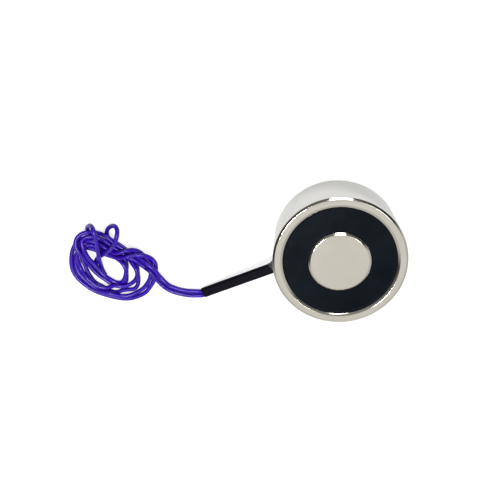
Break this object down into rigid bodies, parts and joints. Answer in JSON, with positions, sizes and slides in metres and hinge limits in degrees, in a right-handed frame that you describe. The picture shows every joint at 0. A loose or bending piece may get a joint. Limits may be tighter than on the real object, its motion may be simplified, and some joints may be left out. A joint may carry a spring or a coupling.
{
  "type": "holding electromagnet",
  "caption": "Round nickel-plated pot electromagnet with a centre pole, a potted coil, a tapped back and violet flying leads that leave through a short black sleeve.",
  "frame": {"origin": "centre of the mounting face, on the pot's axis", "axes": "+Z along the pot's axis towards the holding face; the leads leave towards -X and lie on the plane z = 0"},
  "size_m": [0.1079, 0.0502, 0.02],
  "materials": {
    "nickel_plated_steel": "bright nickel plate on turned and ground steel",
    "fish_paper": "grey-green insulating paper",
    "bobbin_nylon": "natural moulded nylon",
    "enamelled_copper": "enamelled copper wire",
    "polyester_tape": "yellow polyester tape",
    "black_resin": "cast blue-black epoxy resin, satin",
    "solder": "soldered and tinned copper strands",
    "clear_sleeving": "milky insulating sleeving",
    "seal_epoxy": "dark grey epoxy bead",
    "heat_shrink": "black shrunk polyolefin sleeve",
    "violet_pvc": "glossy blue-violet PVC insulation"
  },
  "bodies": {
    "root": {"pot_housing": "nickel_plated_steel", "base_insulator": "fish_paper", "coil_bobbin": "bobbin_nylon", "copper_winding": "enamelled_copper", "winding_tape": "polyester_tape", "potting_resin": "black_resin", "winding_finish_wire": "enamelled_copper", "winding_start_wire": "enamelled_copper", "start_wire_sleeving": "clear_sleeving", "splice_joint_a": "solder", "splice_joint_b": "solder", "splice_sleeving_a": "clear_sleeving", "splice_sleeving_b": "clear_sleeving", "exit_seal": "seal_epoxy", "lead_sleeve": "heat_shrink", "lead_a": "violet_pvc", "lead_b": "violet_pvc", "lead_hank": "violet_pvc", "lead_tip_a": "solder", "lead_tip_b": "solder"}
  },
  "joints": []
}
